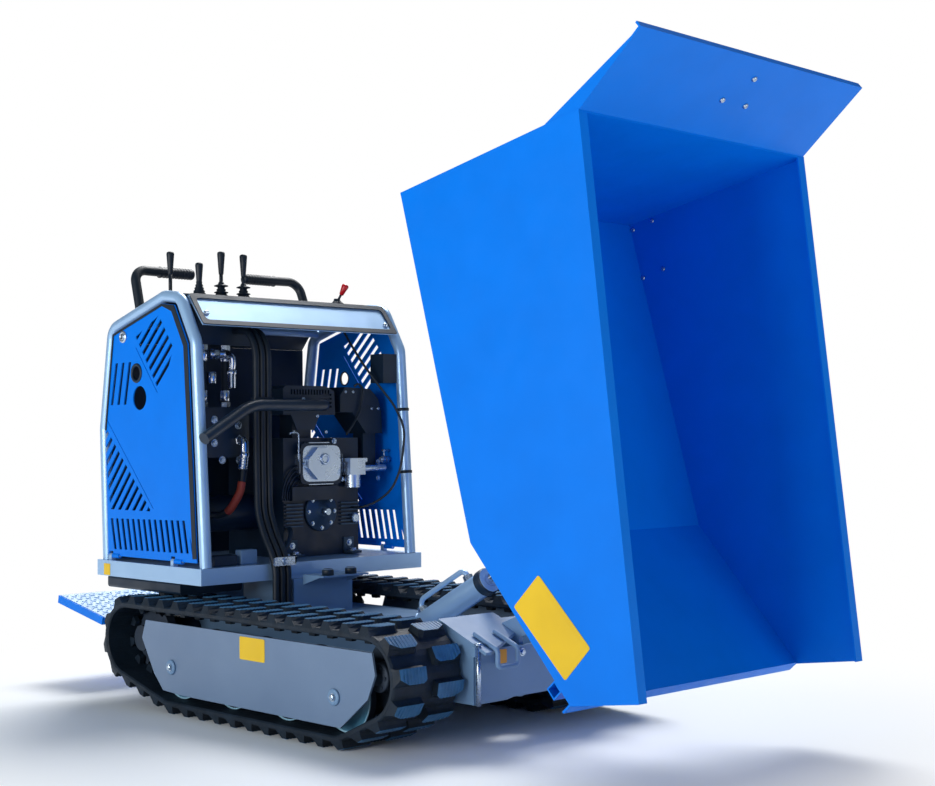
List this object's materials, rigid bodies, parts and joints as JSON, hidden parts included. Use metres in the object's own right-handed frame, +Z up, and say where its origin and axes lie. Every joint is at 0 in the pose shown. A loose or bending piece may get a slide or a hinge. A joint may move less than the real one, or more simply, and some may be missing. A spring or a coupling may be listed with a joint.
{
  "type": "tracked site dumper",
  "caption": "Compact walk-behind site dumper on rubber tracks with a hydraulic front-tipping skip, an open engine bay and a rear step.",
  "frame": {"origin": "on the ground under the middle of the length and width, with the skip tipped", "axes": "+X forward to the skip, +Y to the machine's left, +Z up"},
  "size_m": [2.0038, 0.766, 1.3236],
  "materials": {
    "blue_paint": "satin powder coat",
    "grey_paint": "satin powder coat",
    "silver_paint": "satin metallic paint",
    "black_paint": "satin",
    "running_gear_grey": "dull",
    "track_rubber": "matte",
    "black_rubber": "matte",
    "black_plastic": "fine grain",
    "red_plastic": "gloss",
    "chrome": "polished",
    "aluminium": "brushed"
  },
  "bodies": {
    "chassis": {"air_cleaner": "black_plastic", "carburettor": "aluminium", "chassis": "grey_paint", "console_top": "black_paint", "control_levers": "black_rubber", "control_valve": "black_paint", "cross_tubes": "silver_paint", "deck": "grey_paint", "drop_hoses": "black_rubber", "engine_base": "grey_paint", "engine_block": "black_paint", "exhaust_pipe": "black_paint", "front_hatch": "grey_paint", "front_panel": "silver_paint", "handlebars": "black_rubber", "hoop_left": "silver_paint", "hoop_right": "silver_paint", "hose_bundle": "black_rubber", "hose_clamp": "aluminium", "hydraulic_pump": "black_paint", "hydraulic_valve": "black_paint", "idler_left": "running_gear_grey", "idler_right": "running_gear_grey", "muffler": "black_paint", "oil_tank": "black_paint", "pedestal": "grey_paint", "pressure_hose": "black_rubber", "rear_panel": "black_paint", "relay_box": "black_plastic", "road_wheels_left": "running_gear_grey", "road_wheels_right": "running_gear_grey", "side_cover_left": "grey_paint", "side_cover_right": "grey_paint", "skip_rest": "grey_paint", "sprocket_left": "running_gear_grey", "sprocket_right": "running_gear_grey", "throttle_cable": "black_rubber", "throttle_lever": "red_plastic", "tie_down_bar": "grey_paint", "track_frame_left": "grey_paint", "track_frame_right": "grey_paint", "track_left": "track_rubber", "track_right": "track_rubber", "valve_cover": "aluminium"},
    "skip": {"skip": "blue_paint", "spill_guard": "blue_paint"},
    "cylinder_barrel": {"cylinder_barrel": "silver_paint"},
    "cylinder_rod": {"cylinder_rod": "chrome"},
    "side_panel_left": {"side_panel_left": "blue_paint"},
    "side_panel_right": {"side_panel_right": "blue_paint"},
    "platform": {"platform": "blue_paint"}
  },
  "joints": [
    {"name": "skip_tilt", "type": "hinge", "parent": "chassis", "child": "skip", "pos_m": [0.603, 0, 0.3], "axis": [0, -1, 0], "range_deg": [0, 74.2]},
    {"name": "barrel_swing", "type": "hinge", "parent": "chassis", "child": "cylinder_barrel", "pos_m": [0.06, 0, 0.195], "axis": [0, -1, 0], "range_deg": [-14, 0]},
    {"name": "rod_slide", "type": "slide", "parent": "cylinder_barrel", "child": "cylinder_rod", "axis": [0.8807, 0, 0.4737], "range_m": [-0.1674, 0]},
    {"name": "right_panel_hinge", "type": "hinge", "parent": "chassis", "child": "side_panel_right", "pos_m": [-0.555, -0.324, 0.34], "axis": [1, 0, 0], "range_deg": [0, 90]},
    {"name": "left_panel_hinge", "type": "hinge", "parent": "chassis", "child": "side_panel_left", "pos_m": [-0.555, 0.324, 0.34], "axis": [-1, 0, 0], "range_deg": [0, 90]},
    {"name": "platform_fold", "type": "hinge", "parent": "chassis", "child": "platform", "pos_m": [-0.765, 0, 0.166], "axis": [0, 1, 0], "range_deg": [-10.4, 78]}
  ],
  "couplings": [
    {"joint": "barrel_swing", "follows": "skip_tilt", "ratio": -0.18802},
    {"joint": "rod_slide", "follows": "skip_tilt", "m_per_rad": -0.12888}
  ]
}
